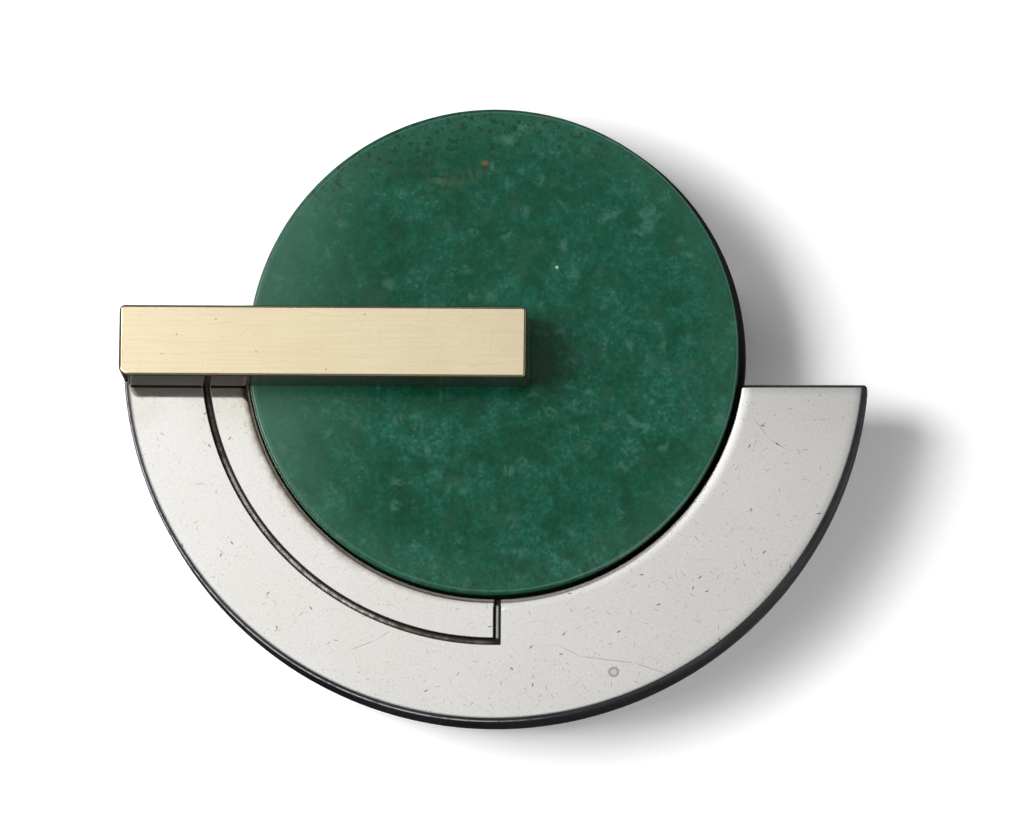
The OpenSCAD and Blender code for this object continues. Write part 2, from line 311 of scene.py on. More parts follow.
class Finish:
    """A material under construction."""

    def __init__(self, name):
        self.material = bpy.data.materials.new(name)
        self.material.use_nodes = True
        self.tree = self.material.node_tree
        self.tree.nodes.clear()
        self.place = self.node("ShaderNodeTexCoord", {}, {}, "Object")

    def node(self, kind, settings, inputs, output=0):
        """Adds a node, with its settings set first and then its sockets, and returns one output."""
        made = self.tree.nodes.new(kind)
        for name, value in settings.items():
            if name == "stops":
                ramp = made.color_ramp
                for i, (place, colour) in enumerate(value):
                    stop = ramp.elements[i] if i < 2 else ramp.elements.new(place)
                    stop.position = place
                    stop.color = (*colour, 1)
            else:
                setattr(made, name, value)
        for name, value in inputs.items():
            if isinstance(value, Wire):
                self.tree.links.new(value.socket, made.inputs[name])
            else:
                made.inputs[name].default_value = value
        return Wire(self, made.outputs[output])

    def axes(self):
        """The three object coordinates in millimetres."""
        split = self.node("ShaderNodeSeparateXYZ", {}, {0: self.place})
        sockets = split.socket.node.outputs
        return [Wire(self, sockets[i]) * (1 / MM) for i in range(3)]

    def turned(self, angle=(0, 0, 0), scale=(1, 1, 1), move=(0, 0, 0)):
        """Object coordinates turned by degrees, moved and stretched."""
        return self.node(
            "ShaderNodeMapping", {"vector_type": "POINT"},
            {"Vector": self.place, "Rotation": [math.radians(a) for a in angle],
             "Scale": scale, "Location": move},
        )

    def noise(self, size, detail=3.0, rough=0.5, bend=0.0, at=None):
        """Noise whose features are about that many millimetres across."""
        return self.node(
            "ShaderNodeTexNoise", {},
            {"Vector": at or self.place, "Scale": 1 / (size * MM), "Detail": detail, "Roughness": rough,
             "Distortion": bend},
        )

    def cells(self, size, at=None):
        """Distance to the nearest of many points about that many millimetres apart."""
        return self.node(
            "ShaderNodeTexVoronoi", {"feature": "F1"},
            {"Vector": at or self.place, "Scale": 1 / (size * MM), "Randomness": 1.0},
        )

    def blend(self, share, first, second):
        """Mixes two colours, each a socket or three numbers."""
        values = {0: share}
        for index, value in ((6, first), (7, second)):
            values[index] = value if isinstance(value, Wire) else (*value, 1)
        return self.node("ShaderNodeMix", {"data_type": "RGBA", "blend_type": "MIX"}, values, 2)

    def bump(self, height, depth):
        """A bump of that many millimetres."""
        return self.node("ShaderNodeBump", {}, {"Height": height, "Distance": depth * MM, "Strength": 1.0})

    def strokes(self, spacing, length, width, seed, share=1.0):
        """Short straight scratches at random places and angles across the face, at most one in each cell."""
        x, _, z = self.axes()
        u, v = x + seed * 7.3, z + seed * 3.1
        flat = self.node("ShaderNodeCombineXYZ", {}, {0: u, 1: v, 2: 0.0})
        cell = self.node(
            "ShaderNodeTexVoronoi", {"voronoi_dimensions": "2D"},
            {"Vector": flat, "Scale": 1 / spacing, "Randomness": 1.0}, 2,
        )
        chance = self.node(
            "ShaderNodeTexVoronoi", {"voronoi_dimensions": "2D"},
            {"Vector": flat, "Scale": 1 / spacing, "Randomness": 1.0}, 1,
        )
        centre = self.node("ShaderNodeSeparateXYZ", {}, {0: cell}).socket.node.outputs
        random = self.node("ShaderNodeSeparateColor", {}, {0: chance}).socket.node.outputs
        angle = Wire(self, random[0]) * 2 * TAU
        du, dv = u - Wire(self, centre[0]), v - Wire(self, centre[1])
        cos, sin = self.wave("COSINE", angle), self.wave("SINE", angle)
        along, aside = abs(du * cos + dv * sin), abs(dv * cos - du * sin)
        bent = aside + along * along * (Wire(self, random[1]) - 0.5) * (0.3 / length)
        there = Wire(self, random[2]).rise(share + 0.01, share - 0.01)
        return abs(bent).rise(width, width * 0.3) * along.rise(length / 2, length / 3) * there

    def wave(self, how, angle):
        """The sine or cosine of an angle in radians."""
        return self.node("ShaderNodeMath", {"operation": how}, {0: angle})

    def stroke(self, start_at, end_at, width):
        """A single scratch between two places (across, up) in millimetres."""
        x, _, z = self.axes()
        dx, dz = end_at[0] - start_at[0], end_at[1] - start_at[1]
        length = math.hypot(dx, dz)
        ux, uz = dx / length, dz / length
        along = (x - start_at[0]) * ux + (z - start_at[1]) * uz
        aside = abs((z - start_at[1]) * ux - (x - start_at[0]) * uz)
        ends = along.rise(0.0, 0.8) * along.rise(length, length - 0.8)
        return aside.rise(width, width * 0.3) * ends

    def surface(self, **inputs):
        """Ends the material in a Principled shader."""
        values = {name.replace("_", " "): value for name, value in inputs.items()}
        self.end(self.node("ShaderNodeBsdfPrincipled", {}, values))
        return self.material

    def end(self, shader):
        out = self.tree.nodes.new("ShaderNodeOutputMaterial")
        self.tree.links.new(shader.socket, out.inputs["Surface"])


# ------------------------------------------------------------------ finishes

def stone_finish():
    """Polished green hardstone: cloudy, with paler flecks, dark grain and a rusty spot, and with a painted
    highlight round the edge of its face and painted shade on its side.
    """
    f = Finish("polished green stone")
    x, y, z = f.axes()
    radius = ((x * x) + (z * z)) ** 0.5
    cloud = f.noise(3.4, 5.0, 0.60, 0.5)
    wisps = f.noise(1.3, 4.0, 0.65, 0.6)
    grain = f.noise(0.34, 3.0, 0.62)
    tone = cloud * 0.44 + wisps * 0.32 + grain * 0.38 - 0.074
    tone = tone + (tone - 0.5) * z.rise(6.0, -8.0) * 0.22
    colour = f.node(
        "ShaderNodeValToRGB",
        {"stops": [
            (0.34, (0.0018, 0.0400, 0.0200)),
            (0.68, (0.0260, 0.1300, 0.0860)),
            (0.45, (0.0022, 0.0580, 0.0300)),
            (0.53, (0.0038, 0.0740, 0.0410)),
            (0.60, (0.0110, 0.0960, 0.0590)),
        ]},
        {"Fac": tone},
    )
    haze = (x.rise(-8.0, -18.5) * (0.25 + z.rise(-14.0, -5.0) * 0.35) + radius.rise(15.5, 20.0) * 0.24).clip()
    colour = f.blend(haze, colour, (0.044, 0.125, 0.086))
    fleck = f.cells(1.9, at=f.turned((20, 35, 10))).rise(0.42, 0.12) * wisps.rise(0.46, 0.60)
    colour = f.blend(fleck * 0.50, colour, (0.058, 0.150, 0.112))
    dust = f.cells(0.62, at=f.turned((15, 0, 25))).rise(0.30, 0.10) * cloud.rise(0.42, 0.60)
    colour = f.blend(dust * 0.38, colour, (0.060, 0.150, 0.110))
    stars = f.cells(0.42, at=f.turned((40, 10, 5))).rise(0.14, 0.05) * wisps.rise(0.50, 0.66)
    colour = f.blend(stars * 0.45, colour, (0.130, 0.240, 0.190))
    dull = f.noise(2.2, 3.0, 0.5, at=f.turned((0, 0, 0), (1, 1, 1), (0.04, 0.02, 0.01))).rise(0.56, 0.72)
    colour = f.blend(dull * 0.35, colour, (0.026, 0.068, 0.046))
    top = (z + x * -0.15).rise(12.5, 18.0)
    bottom = (z - x * 0.2).rise(-16.0, -19.5) * 0.7
    speck = f.noise(0.50, 2.0, 0.7, at=f.turned((0, 30, 0))).rise(0.54, 0.64)
    colour = f.blend(speck * (0.12 + top.most(bottom) * 0.62), colour, (0.0070, 0.026, 0.016))
    slant = z - x * 0.26
    olive = slant.near(15.0, 1.25) * x.near(-3.6, 4.2) * wisps.rise(0.36, 0.54)
    colour = f.blend(olive * 0.55, colour, (0.043, 0.088, 0.038))
    rust = (((x + 0.95) * (x + 0.95)) * 0.45 + (z - 15.5) * (z - 15.5)) ** 0.5
    colour = f.blend(rust.rise(0.30, 0.10) * 0.8, colour, (0.150, 0.085, 0.020))
    white = (((x - 5.0) * (x - 5.0)) + (z - 6.9) * (z - 6.9)) ** 0.5
    colour = f.blend(white.rise(0.17, 0.06) * 0.8, colour, (0.480, 0.620, 0.540))
    # painted highlight: a paler line round the edge of the stone's face, brighter towards the right
    rim = radius.near(19.70, 0.10) * (0.35 + x.rise(-4.0, 14.0) * 0.3)
    colour = f.blend(rim, colour, (0.120, 0.200, 0.160))
    # painted shade: the stone's rounded edge and its side are darkened
    edge = y.rise(-5.26, -5.05)
    colour = f.blend(edge * 0.75, colour, (0.0080, 0.030, 0.018))
    wear = (f.strokes(4.5, 3.8, 0.028, 3.0, 0.7) + f.strokes(3.0, 2.2, 0.022, 8.0, 0.5)).clip()
    height = grain * 0.10 - wear * 0.5
    return f.surface(
        Base_Color=colour, Roughness=0.10 + grain * 0.10 + wear * 0.1, IOR=1.54,
        Specular_IOR_Level=0.16, Normal=f.bump(height, 0.003),
    )


def silver_finish():
    """Polished silver: hairline scratches, small pits and tarnish along its inner edge, with painted shade in
    its groove and on its outer wall, and painted highlights at the notch and along the outer rounding.
    """
    f = Finish("polished silver")
    x, y, z = f.axes()
    radius = ((x * x) + (z * z)) ** 0.5
    soft = f.noise(6.0, 4.0, 0.6)
    fine = f.noise(0.8, 4.0, 0.65)
    grit = f.noise(0.22, 3.0, 0.7)
    lines = (
        f.strokes(3.1, 3.0, 0.016, 1.0) + f.strokes(2.3, 2.2, 0.014, 5.0) + f.strokes(1.7, 1.5, 0.014, 9.0)
        + f.strokes(4.4, 4.2, 0.018, 14.0)
    ).clip()
    marks = (
        f.stroke((-11.7, -24.5), (-9.4, -23.6), 0.032) + f.stroke((-9.6, -23.7), (-8.1, -22.7), 0.028)
        + f.stroke((5.2, -24.0), (7.3, -25.0), 0.026) + f.stroke((6.9, -24.9), (11.6, -25.5), 0.030)
        + f.stroke((11.3, -25.4), (14.6, -26.5), 0.028) + f.stroke((20.9, -5.2), (22.4, -7.2), 0.024)
        + f.stroke((22.2, -7.0), (23.9, -8.1), 0.030)
    ).clip()
    busy = (x * 0.7 - z * 0.7).rise(6.0, 26.0)
    where = f.noise(4.0, 2.0, 0.5, at=f.turned((0, 0, 0), (1, 1, 1), (0.05, 0, 0.02)))
    pits = f.strokes(2.6, 0.36, 0.075, 2.0, 0.45) * (where + busy * 0.07).rise(0.46, 0.52)
    nicks = f.strokes(1.5, 0.46, 0.032, 6.0, 0.55) * (where + busy * 0.12).rise(0.46, 0.54)
    pinholes = f.strokes(0.8, 0.12, 0.046, 11.0, 0.34) * (where + busy * 0.08).rise(0.40, 0.52)
    pits = (pits + nicks * 0.7 + pinholes * 0.7).clip()
    stain_at = (((x - 9.8) * (x - 9.8)) + ((z + 26.2) * (z + 26.2))) ** 0.5
    stain = (stain_at + fine * 0.25).near(0.46, 0.17) * 0.6 + stain_at.rise(0.55, 0.0) * 0.25

    rub = fine.rise(0.38, 0.62)
    brown_edge = radius.rise(20.85 + fine * 0.45, 20.2) * (0.45 + x.rise(2.0, -8.0) * 0.55)
    brown_flecks = radius.rise(21.5, 20.6) * rub * x.rise(-4.0, -16.0)
    under_bar = z.rise(-7.6, -3.4) * soft.rise(0.34, 0.58) * x.rise(4.0, 0.0)
    ring = radius.rise(23.34, 23.42) * radius.rise(24.06, 23.98) * x.rise(0.68, 0.62)
    notch = x.rise(-0.06, 0.0) * x.rise(0.68, 0.62) * radius.rise(24.06, 23.98) * radius.rise(20.6, 20.9)
    in_groove = (y.rise(-4.58, -4.47) * radius.rise(30.0, 29.6)).most(ring).most(notch)
    # painted shadow: a near-black strip on the groove floor along its outer wall, on the left half, where
    # that wall's shadow falls
    groove_shadow = radius.near(23.74, 0.20) * x.rise(0.1, -0.4) * (0.35 + fine.rise(0.40, 0.60) * 0.65)
    # painted shade: the outer wall and its rounding, and the right arm's cut end, are near black
    outer = radius.rise(29.78, 30.02).most(z.rise(-2.96, -2.86) * x.rise(0.0, 1.0))
    # painted highlight: a pale glint line along the outer rounding, strongest on the left
    glint = y.near(-4.45, 0.07) * x.rise(8.0, -4.0) * (0.35 + fine.rise(0.35, 0.55) * 0.65)
    # painted highlight: the groove floor at the band's cut end is pale, as if lit
    between = x.near(0.30, 0.16) * radius.rise(20.6, 20.9) * radius.rise(23.5, 23.3)
    # matt where shade is painted, on the outer wall and in the groove, but not at the painted notch highlight
    painted_shade_matt = (outer * 0.95).most(in_groove * 0.95 * (1 - between * 0.8))
    # painted shade: greyer near the outer edge on the right and along the right arm's cut end
    right_edge_shade = radius.rise(29.2, 30.1) * x.rise(6.0, 24.0) * 0.45 + z.rise(-3.7, -2.95) * x.rise(0.0, 1.0) * 0.25

    colour = f.blend(soft.rise(0.35, 0.7) * 0.6, (0.950, 0.935, 0.900), (0.915, 0.895, 0.845))
    colour = f.blend(grit.rise(0.35, 0.75) * 0.22, colour, (0.60, 0.59, 0.56))
    colour = f.blend(lines * 0.20, colour, (0.50, 0.49, 0.46))
    colour = f.blend(under_bar * 0.42, colour, (0.70, 0.63, 0.46))
    colour = f.blend(brown_edge * 0.72, colour, (0.42, 0.36, 0.26))
    colour = f.blend(brown_flecks * 0.45, colour, (0.36, 0.24, 0.15))
    colour = f.blend(right_edge_shade.clip(), colour, (0.25, 0.25, 0.25))
    # painted shade: darker over the upper part of the right arm
    colour = f.blend(z.rise(-11.0, -3.0) * x.rise(4.0, 20.0) * 0.12, colour, (0.30, 0.30, 0.30))
    colour = f.blend(marks * 0.62, colour, (0.16, 0.15, 0.14))
    colour = f.blend(pits * 0.74, colour, (0.050, 0.042, 0.038))
    colour = f.blend(stain.clip(), colour, (0.30, 0.19, 0.11))
    # painted light and shade on the groove floor: pale grey where it is lit, in the lower left, and dark
    # brown in shade elsewhere
    pale = x.rise(-6.0, -12.0) * z.rise(-7.0, -11.0)
    floor = f.blend(groove_shadow, (0.013, 0.012, 0.011), f.blend(pale, (0.150, 0.125, 0.095), (0.60, 0.58, 0.52)))
    floor = f.blend(between, floor, (0.75, 0.74, 0.71))
    # near-black painted shade for the outer wall, with the painted glint line over it
    edge = f.blend(soft.rise(0.35, 0.65), (0.018, 0.019, 0.021), (0.034, 0.035, 0.038))
    colour = f.blend(outer, colour, f.blend(glint, edge, (0.50, 0.50, 0.51)))
    # the groove shows its painted light and shade in place of the metal's colour
    colour = f.blend(in_groove, colour, floor)
    calm = z.rise(-5.2, -4.2)
    roughness = 0.10 + soft * 0.04 + fine * 0.03 + lines * 0.05 + painted_shade_matt * 0.25 - calm * 0.07
    height = (soft * 0.6 + fine * 0.08 + grit * 0.03 - lines * 0.08 - marks * 0.2) * (1 - calm * 0.7)
    return f.surface(
        Base_Color=colour, Metallic=(1 - painted_shade_matt).clip(), Roughness=roughness, Specular_IOR_Level=0.12,
        Normal=f.bump(height, 0.006),
    )


def back_finish(name, base, dark, roughness):
    """Satin silver behind the brooch, duller and more tarnished than the face, with painted shade on the
    plate's edge, on pieces in front of it and in the gap round the stone.
    """
    f = Finish(name)
    x, y, z = f.axes()
    radius = ((x * x) + (z * z)) ** 0.5
    cloud = f.noise(5.0, 5.0, 0.6, 0.5)
    fine = f.noise(0.5, 4.0, 0.6)
    brushed = f.noise(1.0, 3.0, 0.6, at=f.turned((0, 12, 0), (0.06, 1, 1.6)))
    lines = (f.strokes(3.3, 3.0, 0.022, 21.0) + f.strokes(2.1, 2.0, 0.020, 27.0)).clip()
    # painted shade: the back plate's outer edge, and the whole of any piece in front of the plate, go near
    # black
    rim = radius.near(30.35, 0.35).most(y.rise(-0.62, -0.80)) * y.rise(-0.05, -0.15)
    colour = f.blend(cloud.rise(0.44, 0.80) * 0.40, base, dark)
    colour = f.blend(fine.rise(0.45, 0.75) * 0.18, colour, dark)
    colour = f.blend(lines * 0.3, colour, dark)
    colour = f.blend(rim, colour, (0.034, 0.035, 0.037))
    # painted shade in the gap round the stone: near black on the right, away from the light, and a paler
    # greenish tone on the left
    gap = radius.rise(19.5, 19.7) * radius.rise(21.0, 20.8) * y.rise(-2.0, -2.4)
    colour = f.blend(gap, colour, f.blend(x.rise(0.0, -9.0), (0.020, 0.016, 0.012), (0.160, 0.170, 0.115)))
    # matt where shade is painted
    painted_shade_matt = (rim * 0.95).most(gap)
    height = brushed * 0.5 + fine * 0.3 - lines * 0.6
    return f.surface(
        Base_Color=colour, Metallic=(1 - painted_shade_matt).clip(), Specular_IOR_Level=0.12,
        Roughness=roughness + cloud * 0.12 + brushed * 0.06, Normal=f.bump(height, 0.006),
    )


def gold_finish():
    """Pale gold, finely brushed along the bar, with a few scratches and dents, and painted shade on its
    walls.
    """
    f = Finish("brushed pale gold")
    x, y, z = f.axes()
    brushed = f.noise(0.22, 3.0, 0.7, at=f.turned((0, 0.6, 0), (0.03, 1, 1)))
    broad = f.noise(1.2, 2.0, 0.5, at=f.turned((0, 0, 0), (0.08, 1, 1)))
    soft = f.noise(5.0, 3.0, 0.5)
    lines = (
        f.strokes(2.6, 2.5, 0.018, 2.0, 0.8) + f.strokes(3.8, 3.4, 0.020, 7.0, 0.6)
        + f.strokes(1.5, 1.2, 0.015, 12.0, 0.6)
    ).clip()
    dents = f.strokes(2.7, 0.16, 0.07, 4.0, 0.5)
    low_x = BAR_LOW.x / MM + 0.18
    low_z = BAR_LOW.z / MM
    # painted shade: the bar's walls are darkened, and near black and matt along a band just behind the face,
    # over the lower wall and, partly, at the foot
    side = y.rise(-10.495, -10.42).most(x.rise(low_x + 0.24, low_x + 0.16))
    outline, underside, foot = y.rise(-9.95, -10.15), z.rise(low_z + 0.75, low_z + 0.45), y.rise(-6.6, -5.6)
    wall = side * outline.most(underside).most(foot * 0.6)
    colour = f.blend(soft.rise(0.3, 0.7) * 0.6, (0.905, 0.780, 0.540), (0.865, 0.735, 0.490))
    colour = f.blend(brushed.rise(0.42, 0.75) * 0.24, colour, (0.70, 0.60, 0.40))
    colour = f.blend(broad.rise(0.45, 0.70) * 0.06, colour, (0.74, 0.60, 0.38))
    colour = f.blend(lines * 0.34, colour, (0.50, 0.42, 0.26))
    colour = f.blend(dents * 0.7, colour, (0.22, 0.17, 0.10))
    # the walls' painted shade
    colour = f.blend(side * 0.5, colour, (0.42, 0.33, 0.18))
    colour = f.blend(wall * 0.96, colour, (0.012, 0.010, 0.008))
    roughness = 0.17 + brushed * 0.07 + broad * 0.03 + lines * 0.05 - wall * 0.10
    height = brushed * 0.06 + broad * 0.03 - lines * 0.14
    return f.surface(
        Base_Color=colour, Metallic=1 - wall * 0.92, Roughness=roughness, Specular_IOR_Level=0.15,
        Normal=f.bump(height * (1 - wall * 0.8), 0.004),
    )


def steel_finish():
    """Drawn needle wire, with fine rings left by polishing."""
    f = Finish("polished needle steel")
    rings = f.noise(0.25, 2.0, 0.6, at=f.turned((0, 0, 0), (1, 0.1, 0.1)))
    stains = f.noise(2.0, 4.0, 0.6)
    colour = f.blend(stains.rise(0.5, 0.7) * 0.5, (0.70, 0.70, 0.71), (0.48, 0.46, 0.44))
    return f.surface(
        Base_Color=colour, Metallic=1.0, Roughness=0.16 + rings * 0.10 + stains * 0.06,
        Normal=f.bump(rings, 0.002),
    )


def cement_finish():
    f = Finish("setting cement")
    lumps = f.noise(0.6, 5.0, 0.7)
    colour = f.blend(lumps, (0.10, 0.09, 0.07), (0.05, 0.045, 0.04))
    return f.surface(Base_Color=colour, Roughness=0.75 + lumps * 0.15, Normal=f.bump(lumps, 0.05))


# ------------------------------------------------------------------ the face

def make_stone(finish):
    """A flat disc with a rounded front edge, bored for the peg under the bar."""
    back, face = STONE_HIGH.y, STONE_LOW.y
    edge, bore, rear_edge = 0.32 * MM, 1.05 * MM, 0.1 * MM
    profile = [(bore, back), (STONE_R - rear_edge, back), (STONE_R, back - rear_edge)]
    profile += arc((STONE_R - edge, face + edge), edge, 0, -90, 6)
    profile += [(bore, face)]
    piece = lathe("stone_disc_polished", profile, ROUND_STEPS, centre=(-0.15 * MM, 0, 0))
    finish_piece(piece, "brooch_body", finish, ["stone_disc"])


def make_seat(finish):
    """The silver drum that the stone sits on."""
    edge, bore = 0.12 * MM, 0.95 * MM
    profile = [(bore, SEAT_HIGH.y), (SEAT_HIGH.x, SEAT_HIGH.y)]
    profile += arc((SEAT_HIGH.x - edge, SEAT_LOW.y + edge), edge, 0, -90, 4)
    profile += [(bore, SEAT_LOW.y)]
    piece = lathe("stone_seat_drum", profile, ROUND_STEPS)
    finish_piece(piece, "brooch_body", finish, ["stone_seat"])


def trim_ends(piece):
    """Cuts an annulus or disc off above the crescent's two ends."""
    reach, deep = 40 * MM, 20 * MM
    cut_block(piece, (0, -deep, ARM_TOP), (reach, deep, reach))
    cut_block(piece, (-reach, -deep, LEFT_END_Z), (reach, deep, reach))


def make_crescent(finish):
    """The hollow crescent: a wide ring section with a rounded outer edge and a soft inner one."""
    outer_edge = 0.45 * MM
    roll_wide, roll_deep = 0.9 * MM, 0.10 * MM
    wall, face_t, back = 0.9 * MM, 1.2 * MM, PLATE_Y
    inside, inner = FACE_Y + face_t, INNER_R - 0.10 * MM
    profile = [(inner, back), (INNER_R + wall, back), (INNER_R + wall, inside)]
    profile += [(CRESCENT_R - wall, inside), (CRESCENT_R - wall, back), (CRESCENT_R, back)]
    profile += arc((CRESCENT_R - outer_edge, FACE_Y + outer_edge), outer_edge, 0, -90, 8)
    for i in range(9):
        share = i / 8
        profile.append((inner + roll_wide * (1 - share), FACE_Y + roll_deep * share ** 2.6))
    piece = lathe("crescent", profile, ROUND_STEPS)
    trim_ends(piece)
    for name, low, high in (
        ("right_wall", (INNER_R + 0.2 * MM, inside - 0.1 * MM, ARM_TOP - wall),
         (CRESCENT_R - 0.35 * MM, back, ARM_TOP)),
        ("left_wall", (-CRESCENT_R + 0.35 * MM, inside - 0.1 * MM, LEFT_END_Z - wall),
         (-INNER_R - 0.35 * MM, back, LEFT_END_Z)),
    ):
        join_solids(piece, block(name, low, high), "UNION")
    rebate = start(
        bpy.ops.mesh.primitive_cylinder_add, "rebate", vertices=ROUND_STEPS, radius=GROOVE_R,
        depth=4 * MM, location=(0, GROOVE_FLOOR_Y - 2 * MM, 0), rotation=(math.pi / 2, 0, 0),
    )
    bpy.ops.object.transform_apply(location=True, rotation=True, scale=True)
    cut_block(rebate, (GROOVE_END_X, -20 * MM, -40 * MM), (40 * MM, 20 * MM, 40 * MM))
    join_solids(piece, rebate, "DIFFERENCE")
    near = 1e-6
    bevel_edges(piece, 0.22 * MM, 4, lambda p: p.x > 0 and abs(p.z - ARM_TOP) < near and p.y < inside)
    bevel_edges(piece, 0.03 * MM, 2, lambda p: abs(p.y - FACE_Y) < near and p.x < GROOVE_END_X + near
                and (abs(math.hypot(p.x, p.z) - GROOVE_R) < 5e-6 or abs(p.x - GROOVE_END_X) < near))
    finish_piece(piece, "brooch_body", finish, ["crescent_shell"])


def make_band(finish):
    """The strip let into the crescent's left half."""
    roll_wide, roll_deep, edge = 0.7 * MM, 0.10 * MM, 0.06 * MM
    face, floor, inner = BAND_LOW.y, BAND_HIGH.y, INNER_R - 0.12 * MM
    profile = [(inner, floor), (BAND_R, floor)]
    profile += arc((BAND_R - edge, face + edge), edge, 0, -90, 3)
    for i in range(9):
        share = i / 8
        profile.append((inner + roll_wide * (1 - share), face + roll_deep * share ** 2.6))
    piece = lathe("inner_band_strip", profile, ROUND_STEPS)
    reach, deep = 40 * MM, 20 * MM
    cut_block(piece, (BAND_HIGH.x, -deep, -reach), (reach, deep, reach))
    cut_block(piece, (-reach, -deep, LEFT_END_Z), (reach, deep, reach))
    bevel_edges(piece, edge, 2, lambda p: abs(p.x - BAND_HIGH.x) < 1e-6 and p.y < face + 0.3 * MM)
    finish_piece(piece, "brooch_body", finish, ["inner_band"])


def round_plate(name, radius, front, back):
    return lathe(name, [(0, back), (radius, back), (radius, front), (0, front)], ROUND_STEPS)


def make_back_plate(finish):
    """The plate behind the seat and the crescent, bored for the two pegs."""
    front, back = PLATE_LOW.y, PLATE_HIGH.y
    piece = round_plate("back_plate_sheet", CRESCENT_R, front, back)
    trim_ends(piece)
    disc = round_plate("disc", SEAT_HIGH.x, front, back)
    join_solids(piece, disc, "UNION")
    for x in (0, END_PEG_X):
        hole = start(
            bpy.ops.mesh.primitive_cylinder_add, "hole", vertices=32, radius=PEG_R + 0.05 * MM,
            depth=4 * MM, location=(x, 0, 0), rotation=(math.pi / 2, 0, 0),
        )
        bpy.ops.object.transform_apply(location=True, rotation=True, scale=True)
        join_solids(piece, hole, "DIFFERENCE")
    edit(piece)
    bpy.ops.mesh.remove_doubles(threshold=0.003 * MM)
    bpy.ops.mesh.dissolve_degenerate(threshold=0.001 * MM)
    leave()
    soften(piece, 0.12 * MM, 2)
    finish_piece(piece, "brooch_body", finish, ["back_plate"])


def settle(piece):
    """Turns and drops a piece of the bar, which sits a hair out of line on the brooch."""
    only(piece)
    piece.rotation_euler = (0, math.radians(0.30), 0)
    piece.location = (0, 0, -0.08 * MM)
    bpy.ops.object.transform_apply(location=True, rotation=True, scale=True)


def make_bar(finish):
    """A box of sheet gold with corners softly rounded by wear, open underneath."""
    low, high = BAR_LOW + Vector((0.18 * MM, 0, 0)), BAR_HIGH
    piece = block("gold_bar", low, high)
    near = 1e-6

    def corner(x, z):
        return lambda p: abs(p.x - x) < near and abs(p.z - z) < near

    for x, z, width in (
        (low.x, low.z, 0.75), (low.x, high.z, 0.45), (high.x, low.z, 0.34), (high.x, high.z, 0.34),
    ):
        bevel_edges(piece, width * MM, 6, corner(x, z))
    bevel_edges(piece, 0.24 * MM, 5, lambda p: abs(p.y - low.y) < near)
    edit(piece, "FACE", lambda p: abs(p.y - high.y) < near)
    bpy.ops.mesh.delete(type="FACE")
    leave()
    apply_modifier(piece, "SOLIDIFY", thickness=0.6 * MM, offset=-1)
    settle(piece)
    finish_piece(piece, "brooch_body", finish, ["gold_bar_shell"])


def make_bar_floor(finish):
    low, high = FLOOR_LOW, FLOOR_HIGH
    piece = block("gold_bar_underside", low, high)
    soften(piece, 0.1 * MM, 2)
    settle(piece)
    finish_piece(piece, "brooch_body", finish, ["gold_bar_floor"])


def make_spacer(finish):
    """Fills the step under the bar's outer end, with its hidden lower edge rounded."""
    low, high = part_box("bar_spacer")
    low = low + Vector((0.30 * MM, 0, 0.25 * MM))
    piece = block("bar_spacer_block", low, high)
    near = 1e-6
    bevel_edges(piece, 0.45 * MM, 5, lambda p: abs(p.x - low.x) < near and abs(p.y - high.y) < near)
    soften(piece, 0.04 * MM, 2)
    finish_piece(piece, "brooch_body", finish, ["bar_spacer"])


# ------------------------------------------------------------------ the back

def make_pegs(finish):
    """Two threaded pegs with domed ends, whose flat heads are inside the bar."""
    for node, x in (("centre_peg", 0.0), ("end_peg", END_PEG_X)):
        low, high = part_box(node)
        head_r, head_t, pitch, depth = 1.6 * MM, 0.5 * MM, 0.3 * MM, 0.09 * MM
        profile = [(0, low.y), (head_r - 0.08 * MM, low.y)]
        profile += [(head_r, low.y + 0.08 * MM), (head_r, low.y + head_t)]
        y = low.y + head_t
        while y < high.y - 0.45 * MM:
            profile += [(PEG_R, y + pitch * 0.25), (PEG_R - depth, y + pitch * 0.75)]
            y += pitch
        profile += [(PEG_R, high.y - 0.25 * MM), (PEG_R * 0.8, high.y - 0.08 * MM), (0, high.y)]
        piece = lathe(node + "_threaded", profile, 40, centre=(x, 0, 0))
        finish_piece(piece, "brooch_body", finish, [node])


